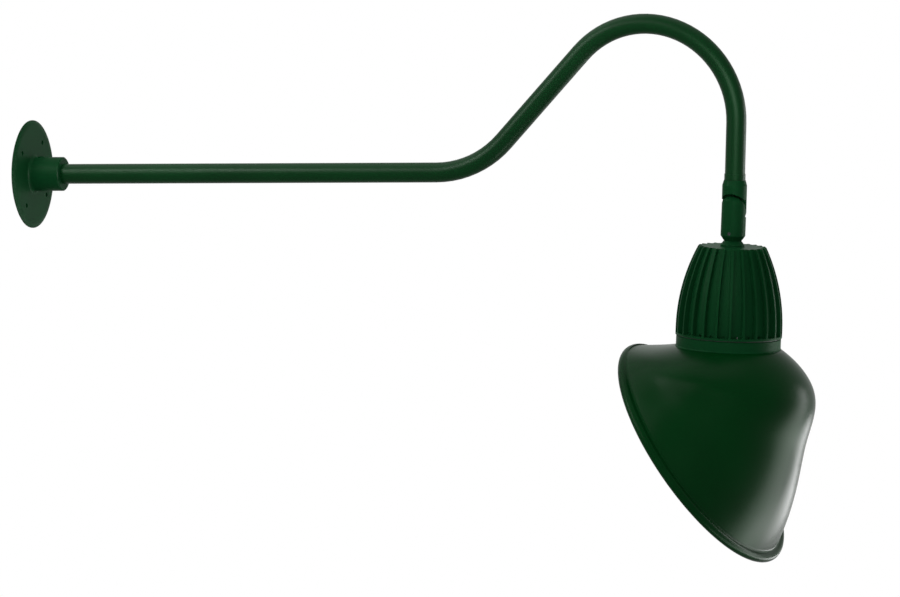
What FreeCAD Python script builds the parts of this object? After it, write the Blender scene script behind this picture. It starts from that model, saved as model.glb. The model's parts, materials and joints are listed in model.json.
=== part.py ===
import FreeCAD, Part
import math
import os

# A gooseneck wall light: a plate and hub on the wall, a bent pipe arm, a two-part knuckle,
# a finned neck that holds the driver and the lamp board, and an angled shade.
# Millimetres. +X points out of the wall and +Z up. The origin is the middle of the face
# that lies on the wall, on the level axis of the arm.

# Arm
pipe_d = 23.4
pipe_wall = 2.1
level_reach = 510.5
rise_bend = 118.0
rise_angle = 46.0
slope_run = 142.0
crown_bend = 109.3
drop_run = 79.0
drop_lean = 3.4
lock_ring_wall = 0.6
lock_ring_h = 6.5
lock_ring_gap = 0.6

# Wall plate and hub
plate_d = 127.0
plate_t = 3.0
plate_rim_t = 1.0
plate_ease = 8.0
gasket_t = 1.6
gasket_inset = 3.0
hub_wall = 8.3
hub_reach = 42.0
hub_root = 4.0
hub_edge = 1.0
hub_step = 10.0
hole_circle_d = 88.9
hole_d = 5.6
hole_count = 4
hole_turn = 52.0
set_screw_d = 4.8
set_screw_len = 6.5
set_screw_inset = 10.0
set_screw_pitch = 18.0
set_ring_d = 8.4
set_ring_h = 0.8

# Knuckle between the arm and the head
knuckle_wall = 2.65
knuckle_top_wall = 0.9
pivot_drop = 19.4
socket_deep = 13.0
socket_floor = 0.4
top_chamfer = 6.0
ear_inset = 0.2
ear_dome_out = 2.7
ear_room = 3.15
knuckle_low = 32.0
foot_chamfer = 6.0
foot_wall = 3.6
washer_t = 1.0
washer_inset = 0.4
ear_gap = 0.15
channel_wall = 1.6
channel_w = 4.2
channel_deep = 5.0
wire_bore_d = 6.0
wire_off = 3.6
pivot_d = 8.0
pivot_skin = 4.3
pivot_head_d = 13.0
pivot_head_t = 4.0
pivot_seat_wall = 2.85
knuckle_screw_d = 3.6
lower_screw_inset = 3.0
upper_screw_up = 5.6
nipple_d = 13.0
nipple_bore_d = 9.0
nipple_past_screw = 5.0
nipple_down = 10.0

# Neck
head_lean = 4.3
boss_step = 0.1
boss_spread = 3.8
boss_flare = 4.5
boss_foot = 2.0
neck_h = 103.9
neck_arc_h = 95.0
neck_top_d = 78.6
fin_deep_top = 4.1
fin_deep_low = 6.0
fin_count = 24
fin_t = 2.6
fin_turn = 5.0
foot_t = 2.5
slot_w = 3.6
slot_h = 2.4
slot_deep = 2.5
cap_wall = 2.6
cap_seat = 5.6
cap_t = 4.0
cap_gasket_t = 1.0
nut_af = 20.0
nut_t = 4.0
spreader_t = 10.0
recess_h = 14.4

# Driver
driver_pad_t = 1.0
driver_pad_edge = 0.6
driver_room = 0.9
driver_x = 34.0
driver_wall = 1.5
driver_foot_y = 11.0
driver_foot_t = 2.0
driver_board_t = 1.6
driver_board_off = 8.0
driver_board_down = 8.5
lead_room = 9.0
coil_side = 15.0
coil_h = 16.0
capacitor_d = 10.0
capacitor_len = 12.0
component_gap = 4.0
wire_hole_d = 4.4
wire_hole_gap = 0.4

# Lamp board and optics
pad_t = 0.5
board_edge = 2.4
board_t = 1.6
emitter_d = 20.0
emitter_t = 1.2
holder_wall = 6.0
holder_t = 3.0
throat_step = 2.0
reflector_wall = 1.0
lens_d = 100.0
lens_t = 3.0
lens_lip_w = 6.0
lens_lip_h = 0.5
lens_gasket_t = 0.8
lens_ring_w = 7.2
lens_ring_t = 3.0

# Collar and shade
collar_w = 11.1
collar_h = 13.0
collar_ledge_w = 4.5
collar_edge = 1.0
collar_foot = 0.7
collar_gasket_t = 0.8
collar_gasket_inset = 1.4
neck_foot_out = 0.3
sheet_t = 1.5
rim_tilt = 52.7
rim_x = -27.5
rim_below_collar = 124.9
rim_d = 287.6
bead_d = 11.2
bead_out = 2.3

# Small screws
small_screw_d = 2.8
small_head_d = 4.2
small_head_t = 1.6
small_grip = 5.0
lens_head_d = 5.6

# Clearances
running = 0.08
fit = 0.1
loose = 0.2
overrun = 1.0

# The shade's front and back outlines: how far round the fan a circle stands, and how far its
# outer edge and its edge near the wall have come from the collar's distances to the rim's.
fan_shares = (0.0, 0.12, 0.24, 0.36, 0.5, 0.72, 1.0)
far_shares = (0.0, 0.235, 0.402, 0.468, 0.506, 0.677, 1.0)
near_shares = (0.0, 0.5, 0.78, 0.93, 1.03, 1.1, 1.0)
fan_steps = 14

# Widths that follow from the sizes above
hub_d = pipe_d + hub_wall * 2
lock_ring_d = pipe_d + lock_ring_wall * 2
knuckle_d = pipe_d + knuckle_wall * 2
knuckle_top_d = pipe_d + knuckle_top_wall * 2
ear_d = knuckle_d - ear_inset * 2
ear_dome_d = knuckle_d + ear_dome_out * 2
shoulder_d = ear_d + ear_room * 2
channel_in_d = pivot_d + channel_wall * 2
channel_out_d = channel_in_d + channel_w * 2
washer_in_d = channel_out_d + washer_inset * 3
washer_out_d = ear_d - washer_inset * 2
foot_d = nipple_d + foot_wall * 2
boss_d = foot_d + boss_step * 2
boss_low_d = boss_d + boss_spread * 2
lens_seat_d = lens_d + loose * 3
collar_d = lens_seat_d + collar_w * 2
collar_bore_d = lens_d + loose * 3 - collar_ledge_w * 2
collar_screw_ring = lens_seat_d + collar_w / 2
lens_hole_d = lens_d - lens_lip_w * 2
lens_ring_d = lens_seat_d + lens_ring_w * 2
lens_screw_ring = lens_seat_d + lens_ring_w
neck_low_d = collar_d + neck_foot_out * 2
floor_top_d = neck_top_d - fin_deep_top * 2
floor_low_d = neck_low_d - fin_deep_low * 2
cap_d = floor_top_d - cap_wall * 2
cavity_d = cap_d - cap_seat * 2
cap_screw_ring = (cap_d + cavity_d) / 2
driver_span = cavity_d - driver_room * 2
driver_y = math.sqrt(driver_span ** 2 - driver_x ** 2)
driver_foot_span = math.sqrt(driver_span ** 2 - driver_foot_y ** 2)
driver_screw_ring = (driver_x + driver_foot_span) / 2
wire_hole_off = driver_y / 2 + wire_hole_d / 2 + wire_hole_gap
driver_pad_d = (wire_hole_off + wire_hole_d / 2 + driver_pad_edge) * 2
board_d = (wire_hole_off + wire_hole_d / 2 + board_edge) * 2
holder_d = emitter_d + holder_wall * 2
board_screw_ring = (holder_d + board_d) / 2
throat_d = emitter_d + throat_step * 2
rim_sheet_d = rim_d - bead_out * 2

# Heights in the pivot's own frame, from the knuckle down to the shade's rim
knuckle_top = pivot_drop + socket_deep
upper_screw_z = pivot_drop + upper_screw_up
upper_face = washer_t / 2 + ear_gap
lower_face = -washer_t / 2
pivot_seat = upper_face + channel_deep + pivot_seat_wall
knuckle_foot = -knuckle_low - foot_chamfer
lower_screw_z = lower_screw_inset - knuckle_low
nipple_top = lower_screw_z + nipple_past_screw
flare_low = knuckle_foot - boss_flare
neck_top = flare_low - boss_foot
cap_low = neck_top - cap_t
cavity_top = cap_low - cap_gasket_t
nipple_low = cap_low - nipple_down
fin_low = neck_top - neck_h
spreader_low = fin_low + recess_h
spreader_top = spreader_low + spreader_t
driver_low = spreader_top + driver_pad_t
driver_top = nipple_low - lead_room - driver_wall
board_top = spreader_low - pad_t
board_low = board_top - board_t
throat_top = board_low - holder_t
collar_top = fin_low - collar_gasket_t
shade_top = collar_top - collar_h
ring_top = shade_top - sheet_t
lens_low = ring_top - lens_lip_h
lens_top = lens_low + lens_t
flange_low = lens_top + lens_gasket_t
ledge_low = flange_low + reflector_wall
lens_ring_low = lens_low - lens_ring_t
rim_z = shade_top - rim_below_collar
cap_screw_tip = neck_top - cap_t - cap_gasket_t - small_grip
driver_screw_tip = spreader_top - small_grip
collar_screw_tip = fin_low + small_grip

full_turn = 360.0
half_turn = 180.0
quarter_turn = 90.0
origin = FreeCAD.Vector(0, 0, 0)
across = FreeCAD.Vector(0, 1, 0)
upward = FreeCAD.Vector(0, 0, 1)


def at(x, y, z):
    return FreeCAD.Vector(x, y, z)


def disc(d, low, high, x=0.0, y=0.0):
    return Part.makeCylinder(d / 2, high - low, at(x, y, low))


def ring(d_in, d_out, low, high):
    return disc(d_out, low, high).cut(disc(d_in, low - overrun, high + overrun))


def cross_bar(d, start, end, x=0.0, z=0.0):
    """A round bar along Y."""
    return Part.makeCylinder(d / 2, end - start, at(x, start, z), across)


def slab(x_size, y_size, low, high, x=0.0, y=0.0):
    """A box whose middle stands at x, y."""
    return Part.makeBox(x_size, y_size, high - low, at(x - x_size / 2, y - y_size / 2, low))


def lathe(edges):
    """A solid of revolution about Z from edges in the XZ plane."""
    return Part.Face(Part.Wire(edges)).revolve(origin, upward, full_turn)


def lines(points):
    """Straight edges through (radius, height) points."""
    spots = [at(radius, 0, height) for radius, height in points]
    return [Part.LineSegment(a, b).toShape() for a, b in zip(spots, spots[1:])]


def turned(points):
    return lathe(lines(points + points[:1]))


def hexagon(across_flats, low, high):
    """A six-sided bar along Z."""
    corner = across_flats / 2 / math.cos(math.pi / 6)
    spots = [at(corner * math.cos(math.pi * k / 3), corner * math.sin(math.pi * k / 3), low)
             for k in range(7)]
    return Part.Face(Part.makePolygon(spots)).extrude(at(0, 0, high - low))


def spun(shape, degrees):
    copy = shape.copy()
    copy.rotate(origin, upward, degrees)
    return copy


def round_copies(shape, count, start=0.0):
    """Equal copies about Z, the first turned by start."""
    return [spun(shape, start + full_turn * k / count) for k in range(count)]


def bored(shape, cutters):
    return shape.cut(Part.makeCompound(cutters))


def moved(shape, x, y, z):
    copy = shape.copy()
    copy.translate(at(x, y, z))
    return copy


def set_screw(d, length):
    """A headless screw along Z, its tip at zero and a hexagon socket in its top."""
    return disc(d, 0, length).cut(hexagon(d / 2, length - d / 3, length + overrun))


def headed_screw(grip, head_d=small_head_d):
    """A screw whose head sits on zero and stands up, with a cross recess."""
    head = disc(head_d, 0, small_head_t)
    head = head.makeFillet(small_head_t / 3, [head.Edges[0]])
    arm = small_screw_d / 4
    recess = slab(head_d / 2, arm, small_head_t / 2, small_head_t + overrun)
    recess = recess.fuse(spun(recess, quarter_turn))
    return head.fuse(disc(small_screw_d, -grip, 0)).cut(recess).removeSplitter()


def upside_down(shape):
    copy = shape.copy()
    copy.rotate(origin, across, half_turn)
    return copy


def screw_group(screw, ring_d, height, count, start):
    return round_copies(moved(screw, ring_d / 2, 0, height), count, start)


def screw_holes(d, ring_d, low, high, count, start):
    return round_copies(disc(d, low, high, ring_d / 2), count, start)


# The arm's centreline

def arm_route():
    """Edges from the step inside the hub to the lower end, and that end."""
    place = at(hub_step, 0, 0)
    heading = 0.0
    edges = []
    steps = (("run", level_reach - hub_step, 0), ("bend", rise_bend, rise_angle),
             ("run", slope_run, 0), ("bend", crown_bend, -rise_angle - quarter_turn - drop_lean),
             ("run", drop_run, 0))
    for kind, size, turn in steps:
        if kind == "run":
            end = place + at(math.cos(heading), 0, math.sin(heading)) * size
            edges.append(Part.LineSegment(place, end).toShape())
        else:
            side = math.copysign(size, turn)
            centre = place + at(-math.sin(heading), 0, math.cos(heading)) * side
            last = heading + math.radians(turn)
            middle = (heading + last) / 2
            half_way = centre + at(math.sin(middle), 0, -math.cos(middle)) * side
            end = centre + at(math.sin(last), 0, -math.cos(last)) * side
            edges.append(Part.Arc(place, half_way, end).toShape())
            heading = last
        place = end
    return edges, place


def pivot_point():
    """The knuckle's pivot, below the arm's end on the line of its drop."""
    end = arm_route()[1]
    lean = math.radians(drop_lean)
    return end - at(math.sin(lean), 0, math.cos(lean)) * pivot_drop


def hung(shape, lean):
    """Moves a piece from the pivot's own frame to its leaning place under the arm."""
    copy = shape.copy()
    copy.rotate(origin, across, lean)
    copy.translate(pivot_point())
    return copy


def to_wall(shape):
    """Turns a piece made along Z to point out of the wall."""
    copy = shape.copy()
    copy.rotate(origin, across, quarter_turn)
    return copy


# Pieces on the wall

def plate_holes(low, high):
    return screw_holes(hole_d, hole_circle_d, low, high, hole_count, hole_turn)


def wall_gasket():
    body = ring(pipe_d, plate_d - gasket_inset * 2, 0, gasket_t)
    return to_wall(bored(body, plate_holes(-overrun, gasket_t + overrun)))


def set_screw_places():
    first = hub_reach - set_screw_inset
    return (first, first - set_screw_pitch)


def on_hub_top(shape, reach):
    """Places a piece made along Z on the hub's top side, in the plate's own frame."""
    copy = shape.copy()
    copy.rotate(origin, across, -quarter_turn)
    copy.translate(at(0, 0, reach))
    return copy


def hub_profile():
    front = gasket_t + plate_t
    plate_r = plate_d / 2
    hub_r = hub_d / 2
    back = lines([(0, gasket_t), (plate_r, gasket_t), (plate_r, gasket_t + plate_rim_t)])
    fall = plate_t - plate_rim_t
    ease_r = (plate_ease ** 2 + fall ** 2) / 2 / fall
    half_turned = math.asin(plate_ease / ease_r) / 2
    eased = Part.Arc(at(plate_r, 0, gasket_t + plate_rim_t),
                     at(plate_r - plate_ease + ease_r * math.sin(half_turned), 0,
                        front - ease_r + ease_r * math.cos(half_turned)),
                     at(plate_r - plate_ease, 0, front)).toShape()
    flat = lines([(plate_r - plate_ease, front), (hub_r + hub_root, front)])
    bow = hub_root * (1 - math.cos(math.pi / 4))
    root = Part.Arc(at(hub_r + hub_root, 0, front), at(hub_r + bow, 0, front + bow),
                    at(hub_r, 0, front + hub_root)).toShape()
    nose = lines([(hub_r, front + hub_root), (hub_r, hub_reach - hub_edge),
                  (hub_r - hub_edge, hub_reach), (0, hub_reach), (0, gasket_t)])
    return back + [eased] + flat + [root] + nose


def wall_plate():
    body = lathe(hub_profile())
    raised = on_hub_top(disc(set_ring_d, hub_d / 2 - set_ring_d / 4, hub_d / 2 + set_ring_h),
                        set_screw_places()[1])
    body = body.fuse(raised)
    cutters = [disc(pipe_d + fit, hub_step, hub_reach + overrun),
               disc(pipe_d - pipe_wall * 2, 0, hub_reach)]
    cutters += plate_holes(0, hub_reach)
    for reach in set_screw_places():
        cutters.append(on_hub_top(disc(set_screw_d + fit, 0, hub_d), reach))
    return to_wall(bored(body, cutters))


def hub_set_screws():
    tip = pipe_d / 2
    pieces = [on_hub_top(moved(set_screw(set_screw_d, set_screw_len), 0, 0, tip), reach)
              for reach in set_screw_places()]
    return to_wall(Part.makeCompound(pieces))


# The arm

def swept(edges, d):
    start = edges[0].Vertexes[0].Point
    circle = Part.Circle(start, at(1, 0, 0), d / 2).toShape()
    return Part.Wire(edges).makePipeShell([Part.Wire(circle)], True, False)


def arm_pipe():
    edges = arm_route()[0]
    return swept(edges, pipe_d).cut(swept(edges, pipe_d - pipe_wall * 2))


def arm_lock_ring():
    low = knuckle_top + lock_ring_gap
    return hung(ring(pipe_d, lock_ring_d, low, low + lock_ring_h), drop_lean)


# The knuckle, in the pivot's own frame

def round_end(side, start, end):
    """What is cut away so that one half ends round about the pivot, above (1) or below (-1)."""
    reach = knuckle_d
    low, high = (0, reach) if side > 0 else (-reach, 0)
    block = slab(reach + reach, end - start, low, high, 0, (start + end) / 2)
    ear = cross_bar(ear_d, start - overrun, end + overrun)
    return block.cut(ear.common(Part.makeSphere(ear_dome_d / 2)))


def hollow_shoulder(side, start, end):
    """What is cut away so that one half leaves room for the other half's round end."""
    reach = knuckle_d
    low, high = (0, reach) if side > 0 else (-reach, 0)
    block = slab(reach + reach, end - start, low, high, 0, (start + end) / 2)
    return block.fuse(cross_bar(shoulder_d, start, end))


def wire_channel(start, end):
    """The ring-shaped way that the wires take round the pivot screw."""
    return cross_bar(channel_out_d, start, end).cut(cross_bar(channel_in_d, start, end))


def upper_knuckle():
    knuckle_r = knuckle_d / 2
    body = turned([(0, -knuckle_d), (knuckle_r, -knuckle_d), (knuckle_r, knuckle_top - top_chamfer),
                   (knuckle_top_d / 2, knuckle_top), (0, knuckle_top)])
    cutters = [hollow_shoulder(-1, -knuckle_d, upper_face),
               round_end(-1, upper_face - overrun, knuckle_d),
               disc(pipe_d + running * 2, pivot_drop - socket_floor, knuckle_top + overrun),
               disc(wire_bore_d, channel_in_d / 2, pivot_drop, 0, wire_off),
               wire_channel(upper_face - overrun, upper_face + channel_deep),
               cross_bar(pivot_d + running * 2, upper_face - overrun, knuckle_d),
               cross_bar(pivot_head_d + loose * 2, pivot_seat, knuckle_d),
               cross_bar(knuckle_screw_d + fit, 0, knuckle_d, 0, upper_screw_z)]
    return hung(bored(body, cutters), drop_lean)


def side_screw(d, tip, outer):
    """A set screw along Y from its tip out to just under the knuckle's side."""
    screw = set_screw(d, outer - tip - loose)
    screw.rotate(origin, at(1, 0, 0), quarter_turn)
    screw.translate(at(0, -tip, 0))
    return screw


def upper_set_screw():
    screw = side_screw(knuckle_screw_d, pipe_d / 2 + loose, knuckle_d / 2)
    screw.rotate(origin, upward, half_turn)
    return hung(moved(screw, 0, 0, upper_screw_z), drop_lean)


def lower_knuckle():
    knuckle_r = knuckle_d / 2
    body = turned([(0, knuckle_foot), (foot_d / 2, knuckle_foot), (knuckle_r, -knuckle_low),
                   (knuckle_r, knuckle_d), (0, knuckle_d)])
    cutters = [hollow_shoulder(1, lower_face, knuckle_d),
               round_end(1, -knuckle_d, lower_face + overrun),
               wire_channel(lower_face - channel_deep, lower_face + overrun),
               disc(wire_bore_d, nipple_top, -channel_in_d / 2, 0, -wire_off),
               disc(nipple_d + fit, knuckle_foot - overrun, nipple_top),
               cross_bar(pivot_d + fit, pivot_skin - knuckle_r, lower_face + overrun),
               cross_bar(knuckle_screw_d + fit, -knuckle_d, 0, 0, lower_screw_z)]
    return hung(bored(body, cutters), head_lean)


def lower_set_screw():
    screw = side_screw(knuckle_screw_d, nipple_d / 2, knuckle_d / 2)
    return hung(moved(screw, 0, 0, lower_screw_z), head_lean)


def pivot_screw():
    head_low = pivot_seat + ear_gap
    head = cross_bar(pivot_head_d, head_low, head_low + pivot_head_t)
    socket = hexagon(pivot_d / 2, pivot_head_t / 2, pivot_head_t + overrun)
    socket.rotate(origin, at(1, 0, 0), -quarter_turn)
    shank = cross_bar(pivot_d, pivot_skin + loose - knuckle_d / 2, head_low + overrun)
    return hung(head.fuse(shank).cut(moved(socket, 0, head_low, 0)).removeSplitter(), head_lean)


def friction_washer():
    face = washer_t / 2
    body = cross_bar(washer_out_d, -face, face)
    return hung(body.cut(cross_bar(washer_in_d, -washer_t, washer_t)), head_lean)


# The neck, from the top down

def neck_nipple():
    return hung(ring(nipple_bore_d, nipple_d, nipple_low, nipple_top - fit), head_lean)


def neck_lock_nut():
    low = cap_low - nut_t
    nut = hexagon(nut_af, low, cap_low).cut(disc(nipple_d + fit, low - overrun, 0))
    return hung(nut, head_lean)


def neck_cap():
    body = turned([(0, cap_low), (cap_d / 2, cap_low), (cap_d / 2, neck_top),
                   (boss_low_d / 2, neck_top), (boss_low_d / 2, flare_low),
                   (boss_d / 2, knuckle_foot), (0, knuckle_foot)])
    cutters = [disc(nipple_d + fit, cap_low - overrun, 0)]
    cutters += screw_holes(small_screw_d + fit, cap_screw_ring, cap_low - overrun, neck_top, 3, 0)
    cutters += screw_holes(small_head_d + fit, cap_screw_ring, neck_top - small_head_t,
                           neck_top + overrun, 3, 0)
    return hung(bored(body, cutters), head_lean)


def cap_gasket():
    body = ring(cavity_d, cap_d, cavity_top, cap_low)
    holes = screw_holes(small_screw_d + fit, cap_screw_ring, cavity_top - overrun, 0, 3, 0)
    return hung(bored(body, holes), head_lean)


def cap_screws():
    seat = neck_top - small_head_t
    screws = screw_group(headed_screw(seat - cap_screw_tip - loose), cap_screw_ring, seat, 3, 0)
    return hung(Part.makeCompound(screws), head_lean)


def barrel(top_d, low_d):
    """The neck's body of revolution: an arc that comes down to a straight foot."""
    top, low = top_d / 2, low_d / 2
    swell = low - top
    arc_r = (neck_arc_h ** 2 + swell ** 2) / 2 / swell
    arc_low = neck_top - neck_arc_h
    half_rise = neck_arc_h / 2
    half_d = low - arc_r + math.sqrt(arc_r ** 2 - half_rise ** 2)
    arc = Part.Arc(at(low, 0, arc_low), at(half_d, 0, arc_low + half_rise), at(top, 0, neck_top))
    foot = lines([(0, neck_top), (0, fin_low), (low, fin_low), (low, arc_low)])
    return lathe(foot + [arc.toShape()] + lines([(top, neck_top), (0, neck_top)]))


def fins():
    outer = barrel(neck_top_d, neck_low_d)
    reach = (neck_low_d - cavity_d) / 2
    blade = slab(reach, fin_t, fin_low, neck_top, (cavity_d + reach) / 2)
    return [blade_copy.common(outer) for blade_copy in round_copies(blade, fin_count, fin_turn)]


def foot_slots():
    """Small slots between the fins, just above the neck's foot."""
    floor_r = floor_low_d / 2
    cutter = slab(slot_deep + overrun, slot_w, fin_low + foot_t, fin_low + foot_t + slot_h,
                  floor_r + (overrun - slot_deep) / 2)
    return round_copies(cutter, fin_count, fin_turn + half_turn / fin_count)


def heat_sink():
    body = barrel(floor_top_d, floor_low_d)
    body = body.fuse(fins() + [disc(neck_low_d, fin_low, fin_low + foot_t)])
    cutters = [disc(cap_d + loose, cavity_top, 0),
               disc(cavity_d, spreader_top, 0),
               disc(lens_d, fin_low - overrun, spreader_low),
               disc(wire_hole_d, fin_low, 0, 0, wire_hole_off)]
    cutters += screw_holes(small_screw_d + fit, cap_screw_ring, cap_screw_tip, 0, 3, 0)
    cutters += screw_holes(small_screw_d + fit, collar_screw_ring, fin_low - overrun,
                           collar_screw_tip, 3, half_turn / 3)
    cutters += screw_holes(small_screw_d + fit, board_screw_ring, fin_low,
                           spreader_low + small_grip, 3, quarter_turn / 3)
    cutters += screw_holes(small_screw_d + fit, driver_screw_ring, driver_screw_tip, 0, 2, 0)
    cutters += foot_slots()
    return hung(bored(body, cutters), head_lean)


# The driver in the neck

def driver_pad():
    body = disc(driver_pad_d, spreader_top, driver_low)
    holes = screw_holes(small_screw_d + fit, driver_screw_ring, spreader_top - overrun, 0, 2, 0)
    holes.append(disc(wire_hole_d, spreader_top - overrun, 0, 0, wire_hole_off))
    return hung(bored(body, holes), head_lean)


def driver_case():
    body = slab(driver_x, driver_y, driver_low, driver_top)
    foot_top = driver_low + driver_foot_t
    body = body.fuse(slab(driver_foot_span, driver_foot_y, driver_low, foot_top))
    inside = slab(driver_x - driver_wall * 2, driver_y - driver_wall * 2, driver_low + driver_wall,
                  driver_top + overrun)
    holes = screw_holes(small_screw_d + fit, driver_screw_ring, driver_low - overrun, 0, 2, 0)
    return hung(bored(body, [inside] + holes), head_lean)


def driver_cover():
    plate = slab(driver_x, driver_y, driver_top, driver_top + driver_wall)
    hole = disc(wire_hole_d, driver_top - overrun, 0, 0, driver_y / 4)
    return hung(plate.cut(hole), head_lean)


def driver_screws():
    screw = headed_screw(driver_foot_t + driver_pad_t + small_grip - loose)
    screws = screw_group(screw, driver_screw_ring, driver_low + driver_foot_t, 2, 0)
    return hung(Part.makeCompound(screws), head_lean)


def driver_board():
    depth = driver_y - driver_wall * 2 - loose * 2
    board = slab(driver_board_t, depth, driver_low + driver_wall, driver_top - driver_board_down,
                 -driver_board_off)
    return hung(board, head_lean)


def driver_components():
    """A wound coil and two capacitors, each standing on the board's face."""
    face = driver_board_t / 2 - driver_board_off
    low = driver_low + driver_wall + component_gap
    coil = slab(coil_side, coil_side, low, low + coil_h, face + coil_side / 2)
    upper = low + coil_h + component_gap
    pieces = [coil]
    for level in (upper, upper + capacitor_d + component_gap / 2):
        centre = at(face, 0, level + capacitor_d / 2)
        pieces.append(Part.makeCylinder(capacitor_d / 2, capacitor_len, centre, at(1, 0, 0)))
    return hung(Part.makeCompound(pieces), head_lean)


# The lamp board and optics under the neck

def board_cutters():
    low = fin_low - overrun
    holes = screw_holes(small_screw_d + fit, board_screw_ring, low, 0, 3, quarter_turn / 3)
    return holes + [disc(wire_hole_d, low, 0, 0, wire_hole_off)]


def thermal_pad():
    return hung(bored(disc(board_d, board_top, spreader_low), board_cutters()), head_lean)


def led_board():
    return hung(bored(disc(board_d, board_low, board_top), board_cutters()), head_lean)


def led_emitter():
    return hung(disc(emitter_d, board_low - emitter_t, board_low), head_lean)


def led_holder():
    return hung(ring(emitter_d + loose * 2, holder_d, throat_top, board_low), head_lean)


def board_screws():
    screw = upside_down(headed_screw(pad_t + board_t + small_grip - loose))
    screws = screw_group(screw, board_screw_ring, board_low, 3, quarter_turn / 3)
    return hung(Part.makeCompound(screws), head_lean)


def reflector():
    """A shallow bowl whose flange is held against the collar's ledge."""
    throat, mouth, flange = throat_d / 2, lens_hole_d / 2, lens_d / 2
    wall = reflector_wall
    return hung(turned([(throat, throat_top), (throat + wall, throat_top), (mouth + wall, ledge_low),
                        (flange, ledge_low), (flange, flange_low), (mouth, flange_low),
                        (throat, throat_top - wall)]), head_lean)


def lens_gasket():
    return hung(ring(lens_hole_d, lens_d, lens_top, flange_low), head_lean)


def glass_lens():
    return hung(disc(lens_d, lens_low, lens_top), head_lean)


def lens_ring():
    body = ring(lens_hole_d, lens_ring_d, lens_ring_low, ring_top)
    cutters = [disc(lens_seat_d, lens_low, ring_top + overrun)]
    cutters += screw_holes(small_screw_d + fit, lens_screw_ring, lens_ring_low - overrun, 0, 3, 0)
    return hung(bored(body, cutters), head_lean)


def lens_ring_screws():
    screw = upside_down(headed_screw(shade_top + small_grip - lens_ring_low - loose, lens_head_d))
    screws = screw_group(screw, lens_screw_ring, lens_ring_low, 3, 0)
    return hung(Part.makeCompound(screws), head_lean)


# The collar and shade

def collar_gasket():
    body = ring(lens_seat_d, collar_d - collar_gasket_inset * 2, collar_top, fin_low)
    holes = screw_holes(small_screw_d + fit, collar_screw_ring, shade_top, 0, 3, half_turn / 3)
    return hung(bored(body, holes), head_lean)


def shade_collar():
    outer, edge = collar_d / 2 - collar_foot, collar_edge
    body = turned([(0, shade_top), (outer + collar_foot, shade_top),
                   (outer + collar_foot, shade_top + collar_foot / 2),
                   (outer, shade_top + collar_foot * 2), (outer, collar_top - edge),
                   (outer - edge, collar_top), (0, collar_top)])
    cutters = [disc(collar_bore_d, shade_top - overrun, 0),
               disc(lens_seat_d, shade_top - overrun, ledge_low)]
    cutters += screw_holes(small_screw_d + fit, collar_screw_ring, shade_top - overrun, 0, 3,
                           half_turn / 3)
    cutters += screw_holes(small_head_d + fit, collar_screw_ring, shade_top - overrun,
                           shade_top + small_head_t, 3, half_turn / 3)
    cutters += screw_holes(small_screw_d + fit, lens_screw_ring, shade_top - overrun,
                           shade_top + small_grip, 3, 0)
    return hung(bored(body, cutters), head_lean)


def collar_screws():
    screw = upside_down(headed_screw(collar_screw_tip - shade_top - small_head_t - loose))
    screws = screw_group(screw, collar_screw_ring, shade_top + small_head_t, 3, half_turn / 3)
    return hung(Part.makeCompound(screws), head_lean)


def quarter_arcs(centre, outward, radius):
    """A circle through the outward point, made of four arcs."""
    turns = [math.pi * k / 4 for k in range(9)]
    spots = [centre + (outward * math.cos(turn) + across * math.sin(turn)) * radius
             for turn in turns]
    return Part.Wire([Part.Arc(*spots[k:k + 3]).toShape() for k in (0, 2, 4, 6)])


def outline(shares):
    """A smooth curve whose Y gives the share at any place round the fan."""
    curve = Part.BSplineCurve()
    spots = [at(place, share, 0) for place, share in zip(fan_shares, shares)]
    curve.interpolate(Points=spots, Parameters=list(fan_shares))
    return curve


def shade_sections():
    """Circles that fan out from the collar's plane to the rim's plane about one line."""
    tilt = math.radians(rim_tilt)
    hinge_x = rim_x - rim_below_collar / math.tan(tilt)
    middle = rim_below_collar / math.sin(tilt)
    far_first, near_first = collar_d / 2 - hinge_x, -collar_d / 2 - hinge_x
    far_last, near_last = middle + rim_sheet_d / 2, middle - rim_sheet_d / 2
    back, front = outline(far_shares), outline(near_shares)
    wires = []
    for step in range(fan_steps + 1):
        share = step / fan_steps
        far = far_first + (far_last - far_first) * back.value(share).y
        near = near_first + (near_last - near_first) * front.value(share).y
        angle = tilt * share
        outward = at(math.cos(angle), 0, -math.sin(angle))
        centre = at(hinge_x, 0, shade_top) + outward * ((far + near) / 2)
        wires.append(quarter_arcs(centre, outward, (far - near) / 2))
    return wires


def shade():
    """A spun sheet with a flat top under the collar and a rolled rim."""
    outside = Part.makeLoft(shade_sections())
    sheet = outside.makeOffsetShape(sheet_t, sheet_t / 1000, fill=True)
    tilt = math.radians(rim_tilt)
    bead = Part.makeTorus(rim_d / 2, bead_d / 2, at(rim_x, 0, rim_z),
                          at(math.sin(tilt), 0, math.cos(tilt)))
    flange = ring(lens_seat_d, collar_d, ring_top, shade_top)
    body = sheet.fuse([flange, bead])
    holes = screw_holes(small_screw_d + fit, lens_screw_ring, ring_top - overrun, 0, 3, 0)
    return hung(bored(body, holes), head_lean)


PIECES = (wall_gasket, wall_plate, hub_set_screws, arm_pipe, arm_lock_ring,
          upper_knuckle, upper_set_screw,
          lower_knuckle, lower_set_screw, pivot_screw, friction_washer,
          neck_nipple, neck_lock_nut, neck_cap, cap_gasket, cap_screws, heat_sink,
          driver_pad, driver_case, driver_cover, driver_screws, driver_board, driver_components,
          thermal_pad, led_board, led_emitter, led_holder, board_screws,
          reflector, lens_gasket, glass_lens, lens_ring, lens_ring_screws,
          collar_gasket, shade_collar, collar_screws, shade)

os.makedirs("parts", exist_ok=True)
for piece in PIECES:
    piece().exportStep("parts/" + piece.__name__ + ".step")
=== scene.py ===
"""Gooseneck wall light: finishes, the dressed shade, soft studio light and the camera."""
import json
import math

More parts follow.
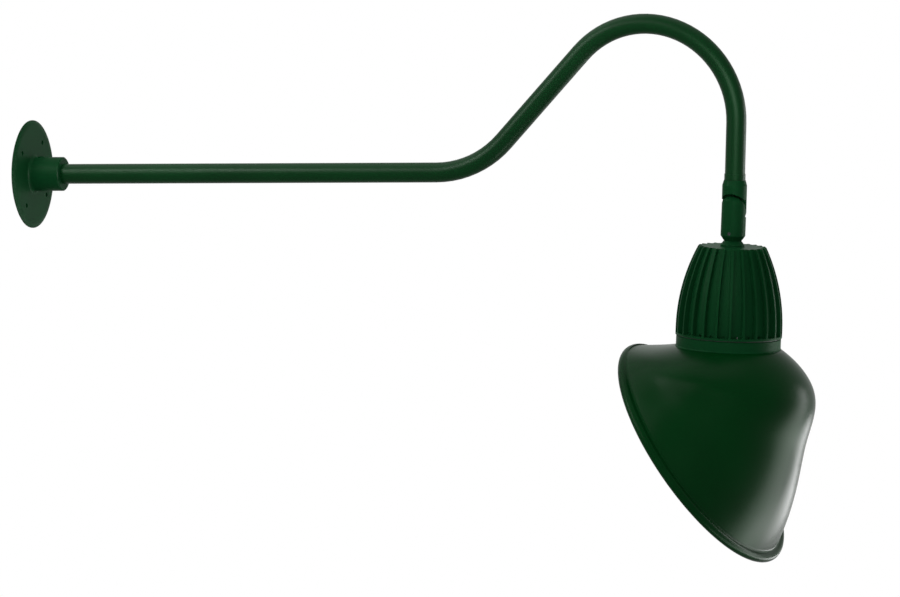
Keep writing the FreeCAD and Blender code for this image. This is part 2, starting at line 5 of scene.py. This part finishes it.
import bpy
import numpy as np
from mathutils import Matrix, Quaternion, Vector


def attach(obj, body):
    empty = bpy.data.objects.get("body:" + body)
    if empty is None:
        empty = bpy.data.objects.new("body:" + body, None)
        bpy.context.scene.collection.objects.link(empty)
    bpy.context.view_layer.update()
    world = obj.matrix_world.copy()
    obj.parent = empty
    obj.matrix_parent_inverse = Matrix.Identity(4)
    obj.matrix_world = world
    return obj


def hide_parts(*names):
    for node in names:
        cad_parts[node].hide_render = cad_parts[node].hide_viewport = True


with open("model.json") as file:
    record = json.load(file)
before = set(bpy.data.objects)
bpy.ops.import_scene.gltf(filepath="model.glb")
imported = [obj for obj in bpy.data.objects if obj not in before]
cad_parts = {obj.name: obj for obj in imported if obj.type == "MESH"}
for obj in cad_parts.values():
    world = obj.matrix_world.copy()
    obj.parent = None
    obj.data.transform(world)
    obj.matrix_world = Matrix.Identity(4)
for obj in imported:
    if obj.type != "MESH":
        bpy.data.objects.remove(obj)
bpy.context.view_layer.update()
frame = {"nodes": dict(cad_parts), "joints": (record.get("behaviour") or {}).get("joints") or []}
full_turn = 2 * math.pi

# The shade, in metres, measured from the joint that the head tilts on
tilt_joint = next(joint for joint in frame["joints"] if joint["name"] == "head_tilt")
pivot = Vector(tilt_joint["pos_m"])
head_lean = math.radians(4.3)
shade_top = -0.1622
collar_r = 0.0614
seat_r = 0.0503
sheet = 0.0015
rim_tilt = math.radians(52.7)
rim_x = -0.0275
rim_below_collar = 0.1249
rim_sheet_r = 0.1415
rim_r = 0.1438
bead_r = 0.0056
fillet_r = 0.0035

# The shade's front and back outlines: how far round the fan a circle stands, and how far its
# outer edge and its edge near the wall have come from the collar's distances to the rim's
fan_places = (0.0, 0.12, 0.24, 0.36, 0.5, 0.72, 1.0)
far_shares = (0.0, 0.235, 0.402, 0.468, 0.506, 0.677, 1.0)
near_shares = (0.0, 0.5, 0.78, 0.93, 1.03, 1.1, 1.0)
end_points = 4

# How finely the shade is drawn. The last steps before the fillet get shorter, the green coat
# goes that share of the way round the rolled rim, and the seat's two steps close the section.
steps_around = 200
sheet_steps = 60
short_steps = (0.45, 0.2, 0.08, 0)
fillet_steps = 14
bead_steps = 22
green_share = 0.68
seat_steps = 2
sharp_edge = math.radians(62)

# Where the sheet meets the fillet and the bead is looked for by halving, from these shares on
fillet_from = 0.6
bead_from = 0.7
halvings = 40
nudge = 1e-4

# The coat's greens, in linear values: one green powder coat, its tone made lighter on the cast parts as
# painted light and darker on the shade as painted shade, with the pipe's in between
cast_green_painted_light = (0.0035, 0.044, 0.0125, 1.0)
pipe_green = (0.001, 0.032, 0.0065, 1.0)
sheet_green_painted_shade = (0.0003, 0.027, 0.0045, 1.0)

# The part of its range that noise mostly fills
patch_start = 0.3
patch_end = 0.7

# The camera, with angles from square on and from level, metres and the lens in millimetres
view_turn = math.radians(20.5)
view_up = math.radians(4.8)
view_aim = Vector((0.5225, 0, -0.1474))
view_distance = 13.986
lens_mm = 480
sensor_mm = 36
nearest_seen = 0.1
farthest_seen = 300

# The studio. The floor glows fully from glow_end outwards, and keeps the shadow within glow_start.
floor_z = -1.6
floor_half = 90
floor_middle = (0.5, 0, floor_z)
near_glow = 0.4
glow_start = 1.0
glow_end = 2.1
sky_light = 0.36
white = (1.0, 1.0, 1.0, 1.0)
full_spread = 180
whole_aim = (0.6, 0, -0.15)
drop_aim = (0.86, 0, 0.11)
shade_aim = (0.9, 0, -0.3)


def linear(red, green, blue):
    """A colour written as screen values from 0 to 255, as the shader wants it."""
    def one(value):
        share = value / 255
        return share / 12.92 if share <= 0.04045 else ((share + 0.055) / 1.055) ** 2.4
    return one(red), one(green), one(blue), 1.0


def shaded(colour, share):
    """The colour made darker or lighter by that share."""
    return tuple(value * share for value in colour[:3]) + (1.0,)


class Tree:
    """A node tree with short calls for the nodes used here."""

    def __init__(self, owner, output):
        owner.use_nodes = True
        self.owner = owner
        self.tree = owner.node_tree
        self.tree.nodes.clear()
        self.output = self.add(output)

    def add(self, kind, **settings):
        """A new node with those settings."""
        node = self.tree.nodes.new(kind)
        for key, value in settings.items():
            setattr(node, key, value)
        return node

    def feed(self, socket, value):
        """Links another socket to this one, or sets it to a plain value."""
        if isinstance(value, bpy.types.NodeSocket):
            self.tree.links.new(value, socket)
        else:
            socket.default_value = value

    def ramp(self, value, low, high, start=0.0, end=1.0):
        """Goes from low to high while the value goes from start to end."""
        node = self.add("ShaderNodeMapRange", clamp=True)
        self.feed(node.inputs["Value"], value)
        self.feed(node.inputs["From Min"], start)
        self.feed(node.inputs["From Max"], end)
        self.feed(node.inputs["To Min"], low)
        self.feed(node.inputs["To Max"], high)
        return node.outputs["Result"]

    def arithmetic(self, operation, first, second):
        """One sum of two values."""
        node = self.add("ShaderNodeMath", operation=operation)
        self.feed(node.inputs[0], first)
        self.feed(node.inputs[1], second)
        return node.outputs["Value"]

    def blend(self, share, first, second):
        """A shader between two others."""
        node = self.add("ShaderNodeMixShader")
        for socket, value in zip(node.inputs, (share, first, second)):
            self.feed(socket, value)
        return node.outputs["Shader"]

    def seen_directly(self):
        """One for rays from the camera or through gloss and glass, nothing for the light's own."""
        path = self.add("ShaderNodeLightPath")
        total = self.arithmetic("ADD", path.outputs["Is Camera Ray"], path.outputs["Is Glossy Ray"])
        total = self.arithmetic("ADD", total, path.outputs["Is Transmission Ray"])
        return self.arithmetic("MINIMUM", total, 1.0)


class Material(Tree):
    """A material whose patterns lie in the object's own coordinates."""

    def __init__(self, name):
        super().__init__(bpy.data.materials.new(name), "ShaderNodeOutputMaterial")
        self.place = self.add("ShaderNodeTexCoord").outputs["Object"]

    def noise(self, scale, detail, roughness=0.5, stretch=None):
        """Soft noise with about that many spots to the metre and that many finer layers."""
        node = self.add("ShaderNodeTexNoise")
        place = self.place
        if stretch is not None:
            mapping = self.add("ShaderNodeMapping")
            self.feed(mapping.inputs["Vector"], place)
            self.feed(mapping.inputs["Scale"], stretch)
            place = mapping.outputs["Vector"]
        self.feed(node.inputs["Vector"], place)
        self.feed(node.inputs["Scale"], scale)
        self.feed(node.inputs["Detail"], detail)
        self.feed(node.inputs["Roughness"], roughness)
        return node.outputs["Fac"]

    def cells(self, scale, feature="F1"):
        """Distances in a pattern of about that many cells to the metre."""
        node = self.add("ShaderNodeTexVoronoi", feature=feature)
        self.feed(node.inputs["Vector"], self.place)
        self.feed(node.inputs["Scale"], scale)
        return node.outputs["Distance"]

    def mix(self, share, first, second):
        """A colour between two others."""
        node = self.add("ShaderNodeMix", data_type="RGBA")
        self.feed(node.inputs["Factor"], share)
        self.feed(node.inputs["A"], first)
        self.feed(node.inputs["B"], second)
        return node.outputs["Result"]

    def uneven(self, pattern, low, high):
        """A value that varies from low to high with noise."""
        return self.ramp(pattern, low, high, patch_start, patch_end)

    def patches(self, pattern, first, second):
        """Two colours in soft patches of noise."""
        return self.mix(self.uneven(pattern, 0, 1), first, second)

    def bump(self, height, depth):
        """A relief that many metres deep."""
        node = self.add("ShaderNodeBump")
        self.feed(node.inputs["Height"], height)
        self.feed(node.inputs["Distance"], depth)
        return node.outputs["Normal"]

    def finish(self, **sockets):
        """The finished material, from values for the shader's sockets."""
        shader = self.add("ShaderNodeBsdfPrincipled")
        for key, value in sockets.items():
            self.feed(shader.inputs[key.replace("_", " ")], value)
        self.feed(self.output.inputs["Surface"], shader.outputs["BSDF"])
        return self.owner


def powder_coat(name, tone, rough, grain, depth, gloss):
    """Dark green powder coat: a slightly uneven tone over fine orange peel."""
    look = Material(name)
    broad, fine, peel = look.noise(9, 4), look.noise(420, 2), look.noise(grain, 2, 0.4)
    light = shaded(tone, 1.16)
    colour = look.patches(broad, shaded(tone, 0.86), light)
    colour = look.mix(look.ramp(fine, 0, 0.3, 0.35, 0.75), colour, light)
    return look.finish(Base_Color=colour, Roughness=look.uneven(broad, rough - 0.025, rough + 0.025),
                       Specular_IOR_Level=gloss, Normal=look.bump(peel, depth))


def enamel():
    """White baked enamel on the inside of the shade."""
    look = Material("white_enamel")
    broad, peel = look.noise(14, 3), look.noise(700, 2, 0.4)
    return look.finish(Base_Color=look.patches(broad, linear(233, 233, 228), linear(243, 243, 239)),
                       Roughness=look.ramp(broad, 0.3, 0.38), Normal=look.bump(peel, 0.00003))


def zinc():
    """Zinc-plated steel: fine turned streaks under a faintly mottled plating."""
    look = Material("zinc_steel")
    mottle, streaks = look.noise(260, 4, 0.6), look.noise(500, 2, 0.5, (1, 1, 12))
    return look.finish(Base_Color=look.patches(mottle, linear(176, 177, 174), linear(203, 204, 202)),
                       Metallic=1.0, Roughness=look.uneven(mottle, 0.28, 0.44),
                       Normal=look.bump(streaks, 0.00003))


def black_steel():
    """Black-oxide steel of the screws that show, with a trace of oil on it."""
    look = Material("black_steel")
    mottle, grain = look.noise(340, 4, 0.6), look.noise(1200, 2)
    return look.finish(Base_Color=look.patches(mottle, linear(34, 35, 37), linear(52, 53, 55)),
                       Metallic=0.85, Roughness=look.uneven(mottle, 0.36, 0.52),
                       Normal=look.bump(grain, 0.00002))


def bright_aluminium():
    """Bright drawn aluminium of the reflector, with faint spinning lines."""
    look = Material("bright_aluminium")
    haze, lines = look.noise(60, 4, 0.6), look.noise(300, 2, 0.5, (0.2, 0.2, 8))
    return look.finish(Base_Color=look.patches(haze, linear(224, 225, 228), linear(240, 241, 243)),
                       Metallic=1.0, Roughness=look.uneven(haze, 0.1, 0.2),
                       Normal=look.bump(lines, 0.00002))


def rubber():
    """Black rubber with a fine matt grain and a little dust."""
    look = Material("black_rubber")
    dust, grain = look.noise(45, 5, 0.65), look.noise(1500, 2)
    colour = look.mix(look.ramp(dust, 0, 1, 0.45, 0.8), linear(20, 20, 20), linear(42, 42, 41))
    return look.finish(Base_Color=colour, Roughness=look.ramp(dust, 0.62, 0.8),
                       Normal=look.bump(grain, 0.00006))


def moulded(name, tone, rough):
    """Moulded plastic with a spark-eroded texture."""
    look = Material(name)
    broad, grain = look.noise(30, 3), look.noise(1300, 2, 0.45)
    return look.finish(Base_Color=look.patches(broad, shaded(tone, 0.93), tone),
                       Roughness=look.uneven(broad, rough - 0.04, rough + 0.04),
                       Normal=look.bump(grain, 0.00004))


def heat_pad():
    """Grey silicone heat pad with dimples of filler."""
    look = Material("heat_pad")
    dots, mottle = look.cells(900), look.noise(120, 4)
    return look.finish(Base_Color=look.patches(mottle, linear(172, 174, 178), linear(188, 190, 194)),
                       Roughness=look.ramp(mottle, 0.6, 0.74), Normal=look.bump(dots, 0.0001))


def circuit(name, mask, copper):
    """Circuit board: solder mask with faint tracks under it."""
    look = Material(name)
    tracks, weave = look.cells(180, "DISTANCE_TO_EDGE"), look.noise(900, 2)
    line = look.ramp(tracks, 1, 0, 0.02, 0.09)
    return look.finish(Base_Color=look.mix(look.arithmetic("MULTIPLY", line, 0.35), mask, copper),
                       Roughness=look.ramp(weave, 0.32, 0.46), Normal=look.bump(line, 0.00004))


def phosphor():
    """Yellow phosphor under soft silicone."""
    look = Material("phosphor")
    dots, haze = look.cells(620), look.noise(90, 3)
    colour = look.mix(look.ramp(dots, 0, 1, 0.1, 0.7), linear(238, 205, 92), linear(246, 222, 132))
    colour = look.mix(look.uneven(haze, 0, 0.35), colour, linear(250, 232, 160))
    return look.finish(Base_Color=colour, Roughness=look.ramp(haze, 0.2, 0.32),
                       Normal=look.bump(dots, 0.00005), Coat_Weight=0.4, Coat_Roughness=0.1)


def clear_glass():
    """Clear tempered glass with a trace of unevenness."""
    look = Material("clear_glass")
    ripple, smudge = look.noise(35, 2), look.noise(70, 5, 0.65)
    return look.finish(Base_Color=look.mix(smudge, linear(250, 253, 252), linear(245, 251, 249)),
                       Roughness=look.ramp(smudge, 0.0, 0.06, 0.5, 0.8), IOR=1.5,
                       Transmission_Weight=1.0, Normal=look.bump(ripple, 0.00004))


# The cast coat's lighter tone is painted light and the sheet coat's darker tone is painted shade, on
# what is one green powder coat
finishes = {
    "cast": powder_coat("green_cast_coat", cast_green_painted_light, rough=0.42, grain=900, depth=0.00003,
                        gloss=0.017),
    "pipe": powder_coat("green_pipe_coat", pipe_green, rough=0.36, grain=700, depth=0.000007,
                        gloss=0.06),
    "sheet": powder_coat("green_sheet_coat", sheet_green_painted_shade, rough=0.3, grain=560, depth=0.000012,
                         gloss=0.03),
    "steel": zinc(),
    "black_steel": black_steel(),
    "seal": rubber(),
    "pad": heat_pad(),
    "mirror": bright_aluminium(),
    "case": moulded("white_case", linear(222, 221, 215), 0.5),
    "holder": moulded("white_holder", linear(236, 235, 230), 0.42),
    "components": moulded("dark_components", linear(62, 64, 68), 0.4),
    "board": circuit("green_board", linear(20, 92, 50), linear(92, 140, 70)),
    "lamp_board": circuit("white_board", linear(226, 227, 224), linear(196, 197, 192)),
    "emitter": phosphor(),
    "glass": clear_glass(),
    "enamel": enamel(),
}
nodes_by_finish = {
    "cast": ("wall_plate", "upper_knuckle", "lower_knuckle", "neck_cap", "heat_sink",
             "lens_ring", "shade_collar"),
    "pipe": ("arm_pipe", "arm_lock_ring"),
    "sheet": ("shade",),
    "black_steel": ("hub_set_screws", "upper_set_screw", "lower_set_screw", "pivot_screw",
                    "cap_screws"),
    "steel": ("friction_washer", "neck_nipple", "neck_lock_nut", "driver_screws",
              "board_screws", "lens_ring_screws", "collar_screws"),
    "seal": ("wall_gasket", "cap_gasket", "lens_gasket", "collar_gasket"),
    "pad": ("driver_pad", "thermal_pad"),
    "case": ("driver_case", "driver_cover"),
    "holder": ("led_holder",),
    "components": ("driver_components",),
    "board": ("driver_board",),
    "lamp_board": ("led_board",),
    "emitter": ("led_emitter",),
    "mirror": ("reflector",),
    "glass": ("glass_lens",),
}
for finish_name, node_names in nodes_by_finish.items():
    for node_name in node_names:
        node = frame["nodes"][node_name]
        node.data.materials.clear()
        node.data.materials.append(finishes[finish_name])


def end_slope(x, y):
    """The slope at the first of a few points, of the cubic through them."""
    return np.polyval(np.polyder(np.polyfit(x, y, len(x) - 1)), x[0])


def curve_slopes(x, y):
    """The slopes that a smooth curve has at its points."""
    count = len(x)
    step = np.diff(x)
    left = np.zeros((count, count))
    right = np.zeros(count)
    left[0, 0] = left[-1, -1] = 1
    right[0] = end_slope(x[:end_points], y[:end_points])
    right[-1] = end_slope(x[::-1][:end_points], y[::-1][:end_points])
    for i in range(1, count - 1):
        left[i, i - 1] = step[i]
        left[i, i] = 2 * (step[i - 1] + step[i])
        left[i, i + 1] = step[i - 1]
        right[i] = 3 * (step[i] * (y[i] - y[i - 1]) / step[i - 1]
                        + step[i - 1] * (y[i + 1] - y[i]) / step[i])
    return np.linalg.solve(left, right)


def smooth_line(places, values):
    """A smooth curve through the values, as a function of the place."""
    x = np.array(places)
    y = np.array(values)
    step = np.diff(x)
    slopes = curve_slopes(x, y)

    def value(at):
        i = min(max(np.searchsorted(x, at) - 1, 0), len(x) - 2)
        past = (at - x[i]) / step[i]
        left = 1 - past
        return (y[i] * (1 + 2 * past) * left ** 2 + step[i] * slopes[i] * past * left ** 2
                + y[i + 1] * past * past * (3 - 2 * past) - step[i] * slopes[i + 1] * past * past * left)
    return value


# The shade is a fan of circles about a hinge, from the collar's circle to the rim's
far_line = smooth_line(fan_places, far_shares)
near_line = smooth_line(fan_places, near_shares)
hinge_x = rim_x - rim_below_collar / math.tan(rim_tilt)
rim_reach = rim_below_collar / math.sin(rim_tilt)
far_first = collar_r - hinge_x
near_first = -collar_r - hinge_x
far_last = rim_reach + rim_sheet_r
near_last = rim_reach - rim_sheet_r


def sheet_point(share, turn):
    """A point of the shade's outside: share runs from the collar to the rim, turn goes round it."""
    far = far_first + (far_last - far_first) * far_line(share)
    near = near_first + (near_last - near_first) * near_line(share)
    angle = rim_tilt * share
    reach = (far + near) / 2 + (far - near) / 2 * math.cos(turn)
    return np.array((hinge_x + reach * math.cos(angle), (far - near) / 2 * math.sin(turn),
                     shade_top - reach * math.sin(angle)))


def inner_point(share, turn):
    """The point of the shade's inside that lies behind sheet_point."""
    low = max(share - nudge, 0)
    high = min(share + nudge, 1)
    along = sheet_point(high, turn) - sheet_point(low, turn)
    round_it = sheet_point(share, turn + nudge) - sheet_point(share, turn - nudge)
    outward = np.cross(along, round_it)
    return sheet_point(share, turn) - outward / np.linalg.norm(outward) * sheet


class RimSection:
    """The rolled rim cut through at one turn, with places in the cut from the bead's middle."""

    def __init__(self, turn):
        self.outward = np.array((math.cos(rim_tilt) * math.cos(turn), math.sin(turn),
                                 -math.sin(rim_tilt) * math.cos(turn)))
        self.above = np.array((math.sin(rim_tilt), 0, math.cos(rim_tilt)))
        self.centre = np.array((rim_x, 0, shade_top - rim_below_collar)) + self.outward * rim_r

    def flat(self, point):
        """The place in the cut that a point lies over."""
        away = point - self.centre
        return np.array((np.dot(away, self.outward), np.dot(away, self.above)))

    def point(self, place):
        """The point at a place in the cut."""
        return self.centre + self.outward * place[0] + self.above * place[1]


def direction(angle):
    """The place one unit off the middle at that angle."""
    return np.array((math.cos(angle), math.sin(angle)))


def last_share(stays_off, low, high):
    """The share between low and high up to which the sheet stays off something."""
    for _ in range(halvings):
        middle = (low + high) / 2
        if stays_off(middle):
            low = middle
        else:
            high = middle
    return low


def meets_bead(point_of, rim, turn):
    """The share at which one side of the sheet goes into the bead."""
    def stays_off(share):
        return np.linalg.norm(point_of(share, turn) - rim.centre) > bead_r
    return last_share(stays_off, bead_from, 1.0)


def fillet_middle(share, rim, turn):
    """The middle of a fillet that leaves the sheet at that share."""
    along = rim.flat(sheet_point(share + nudge, turn)) - rim.flat(sheet_point(share - nudge, turn))
    off = np.array((-along[1], along[0])) / np.linalg.norm(along)
    return rim.flat(sheet_point(share, turn)) + off * fillet_r


def outside_line(rim, turn):
    """The sheet's outside down to the fillet, and the fillet's middle."""
    def stays_off(share):
        return np.linalg.norm(fillet_middle(share, rim, turn)) > bead_r + fillet_r
    end = last_share(stays_off, fillet_from, meets_bead(sheet_point, rim, turn))
    step = end / sheet_steps
    shares = [step * i for i in range(sheet_steps)]
    shares += [end - step * part for part in short_steps]
    return [sheet_point(share, turn) for share in shares], fillet_middle(end, rim, turn)


def fillet_line(rim, middle, sheet_end):
    """The round fillet from the sheet to the bead, which eases into the plane of the cut."""
    leave = rim.flat(sheet_end) - middle
    begin = math.atan2(leave[1], leave[0])
    land = math.atan2(-middle[1], -middle[0])
    sweep = (land - begin + math.pi) % full_turn - math.pi
    aside = sheet_end - rim.point(rim.flat(sheet_end))
    points = []
    for i in range(1, fillet_steps):
        share = i / fillet_steps
        place = middle + direction(begin + sweep * share) * fillet_r
        points.append(rim.point(place) + aside * (1 - share) ** 2 * (1 + 2 * share))
    return points


def bead_line(rim, middle, sheet_end):
    """Round the bead, from the fillet on the outside to the sheet's inside."""
    tail = rim.flat(sheet_end)
    first = math.atan2(middle[1], middle[0])
    last = math.atan2(tail[1], tail[0])
    if last > first:
        last -= full_turn
    angles = [first + (last - first) * i / bead_steps for i in range(bead_steps)]
    return [rim.point(direction(angle) * bead_r) for angle in angles]


def inside_line(rim, turn):
    """The sheet's inside, from the underside of its top down to the bead."""
    end = meets_bead(inner_point, rim, turn)
    points = [inner_point(end * i / sheet_steps, turn) for i in range(sheet_steps + 1)]
    points[0][2] = shade_top - sheet
    return points


def shade_section(turn):
    """One closed line round the sheet's section, and how many of its first steps are green."""
    rim = RimSection(turn)
    outside, middle = outside_line(rim, turn)
    fillet = fillet_line(rim, middle, outside[-1])
    inside = inside_line(rim, turn)
    bead = bead_line(rim, middle, inside[-1])
    ring_low = np.array((seat_r * math.cos(turn), seat_r * math.sin(turn), shade_top - sheet))
    ring_high = ring_low + (0, 0, sheet)
    points = outside + fillet + bead + inside[::-1] + [ring_low, ring_high]
    return points, len(outside) + len(fillet) + int(bead_steps * green_share)


def make_shade():
    """The shade as a finer sheet than the CAD's, green outside and white inside."""
    lean = Matrix.Rotation(head_lean, 3, "Y")
    points, faces, is_white = [], [], []
    for k in range(steps_around):
        line, green_steps = shade_section(full_turn * k / steps_around)
        points += [pivot + lean @ Vector(point) for point in line]
    count = len(line)
    for k in range(steps_around):
        here = k * count
        beside = (k + 1) % steps_around * count
        for i in range(count):
            onward = (i + 1) % count
            faces.append((beside + i, beside + onward, here + onward, here + i))
            is_white.append(green_steps <= i < count - seat_steps)
    mesh = bpy.data.meshes.new("shade_sheet")
    mesh.from_pydata(points, [], faces)
    mesh.materials.append(finishes["sheet"])
    mesh.materials.append(finishes["enamel"])
    for polygon, white_side in zip(mesh.polygons, is_white):
        polygon.material_index = int(white_side)
        polygon.use_smooth = True
    mesh.set_sharp_from_angle(angle=sharp_edge)
    piece = bpy.data.objects.new("shade_sheet", mesh)
    bpy.context.scene.collection.objects.link(piece)
    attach(piece, "head")
    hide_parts("shade")


def make_camera():
    """A long lens, rolled so that the level run of the arm lies level in the picture."""
    roll = math.atan(math.tan(view_turn) * math.sin(view_up))
    look = Vector((-math.sin(view_turn) * math.cos(view_up), math.cos(view_turn) * math.cos(view_up),
                   -math.sin(view_up)))
    level = Vector((math.cos(view_turn), math.sin(view_turn), 0))
    above = level.cross(look)
    right = level * math.cos(roll) - above * math.sin(roll)
    top = level * math.sin(roll) + above * math.cos(roll)
    data = bpy.data.cameras.new("camera")
    data.sensor_fit = "HORIZONTAL"
    data.sensor_width = sensor_mm
    data.lens = lens_mm
    data.clip_start = nearest_seen
    data.clip_end = farthest_seen
    camera = bpy.data.objects.new("camera", data)
    bpy.context.scene.collection.objects.link(camera)
    seat = Matrix.Translation(view_aim - look * view_distance)
    camera.matrix_world = seat @ Matrix((right, top, -look)).transposed().to_4x4()
    bpy.context.scene.camera = camera
    bpy.context.scene.view_settings.view_transform = "Standard"


def floor_finish():
    """Pale paint that glows white far off, and is clear from below."""
    look = Material("studio_floor")
    spot = look.add("ShaderNodeNewGeometry")
    away = look.add("ShaderNodeVectorMath", operation="DISTANCE")
    look.feed(away.inputs[0], spot.outputs["Position"])
    look.feed(away.inputs[1], floor_middle)
    glow = look.ramp(away.outputs["Value"], near_glow, 1.0, glow_start, glow_end)
    grey = look.add("ShaderNodeCombineColor")
    speck = look.uneven(look.noise(3, 2), 0.84, 0.86)
    for channel in grey.inputs:
        look.feed(channel, speck)
    paint = look.add("ShaderNodeBsdfDiffuse")
    look.feed(paint.inputs["Color"], grey.outputs["Color"])
    light = look.add("ShaderNodeEmission")
    share = look.arithmetic("MULTIPLY", glow, look.seen_directly())
    lit = look.blend(share, paint.outputs["BSDF"], light.outputs["Emission"])
    clear = look.add("ShaderNodeBsdfTransparent")
    surface = look.blend(spot.outputs["Backfacing"], lit, clear.outputs["BSDF"])
    look.feed(look.output.inputs["Surface"], surface)
    return look.owner


def make_floor():
    """A wide pale floor: white far off, and near the light it keeps the shadow."""
    signs = ((-1, -1), (1, -1), (1, 1), (-1, 1))
    corners = [(x * floor_half, y * floor_half, floor_z) for x, y in signs]
    mesh = bpy.data.meshes.new("studio_floor")
    mesh.from_pydata(corners, [], [(0, 1, 2, 3)])
    mesh.materials.append(floor_finish())
    floor = bpy.data.objects.new("studio_floor", mesh)
    bpy.context.scene.collection.objects.link(floor)


def make_world():
    """A sky that is white to look at and gives the object less light than it shows."""
    world = bpy.data.worlds.new("studio")
    bpy.context.scene.world = world
    sky_tree = Tree(world, "ShaderNodeOutputWorld")
    sky = sky_tree.add("ShaderNodeBackground")
    sky_tree.feed(sky.inputs["Color"], white)
    sky_tree.feed(sky.inputs["Strength"], sky_tree.ramp(sky_tree.seen_directly(), sky_light, 1.0))
    sky_tree.feed(sky_tree.output.inputs["Surface"], sky.outputs["Background"])


def softbox(name, toward, distance, width, height, radiance, aim=whole_aim, roll=0,
            spread=full_spread):
    """A soft lamp that far off its aim in that direction, with roll and spread in degrees."""
    data = bpy.data.lights.new(name, "AREA")
    data.shape = "RECTANGLE"
    data.size = width
    data.size_y = height
    data.energy = radiance * math.pi * width * height
    if spread < full_spread:
        half = math.radians(spread) / 2
        data.spread = 2 * half
        data.energy *= 1 - half / math.tan(half)
    lamp = bpy.data.objects.new(name, data)
    bpy.context.scene.collection.objects.link(lamp)
    away = Vector(toward).normalized()
    lamp.location = Vector(aim) + away * distance
    lamp.rotation_mode = "QUATERNION"
    roll_turn = Quaternion((0, 0, 1), math.radians(roll))
    lamp.rotation_quaternion = away.to_track_quat("Z", "Y") @ roll_turn
    lamp.visible_camera = False
    return lamp


def gloss_only(lamp):
    """Lets a lamp show in the gloss and add nothing to the plain light on the paint."""
    lamp.visible_diffuse = False


def make_lamps():
    """Three lamps for the whole light, then small ones that only the gloss shows."""
    softbox("key_front", (-0.35, -0.85, 0.7), distance=2.6, width=1.6, height=1.2, radiance=3.6)
    fill = softbox("fill_camera", (0.45, -1, 0.1), distance=3.0, width=1.6, height=1.2, radiance=2.2)
    fill.visible_glossy = False
    softbox("top", (0.1, 0.1, 1), distance=2.4, width=2.0, height=1.4, radiance=1.0)
    # The streak along the arm's level run, and the sheen on its slope and its drop
    gloss_only(softbox("arm_strip", (-0.35, -0.66, 0.66), distance=1.0, width=0.4, height=0.2,
                       radiance=26.0, aim=(0.17, 0, 0)))
    gloss_only(softbox("front_left", (-0.718, -0.646, 0.259), distance=2.0, width=0.55, height=0.6,
                       radiance=11.0, aim=(0.65, 0, 0.1)))
    gloss_only(softbox("front", (0.35, -0.93, 0.08), distance=0.6, width=0.55, height=0.35,
                       radiance=20.0, aim=drop_aim, spread=52))
    # The sheen on the shade's upper left, and the fine bright arc at the hub's root
    gloss_only(softbox("top_left", (-0.54, -0.04, 0.84), distance=1.6, width=1.2, height=1.0,
                       radiance=2.0, aim=(0.8, 0, -0.2)))
    gloss_only(softbox("hub_root", (0.95, -0.3, 0.0), distance=0.45, width=0.16, height=0.16,
                       radiance=110.0, aim=(0.01, -0.02, 0), spread=60))
    # The band of light down the shade's right side
    gloss_only(softbox("right_strip", (0.733, 0.326, -0.597), distance=0.85, width=3.0, height=0.36,
                       radiance=12.0, aim=shade_aim, roll=55.9))
    gloss_only(softbox("right_wall", (0.502, 0.707, -0.499), distance=1.54, width=1.74, height=0.31,
                       radiance=10.5, aim=shade_aim, roll=28.6))


make_shade()
make_camera()
make_floor()
make_world()
make_lamps()
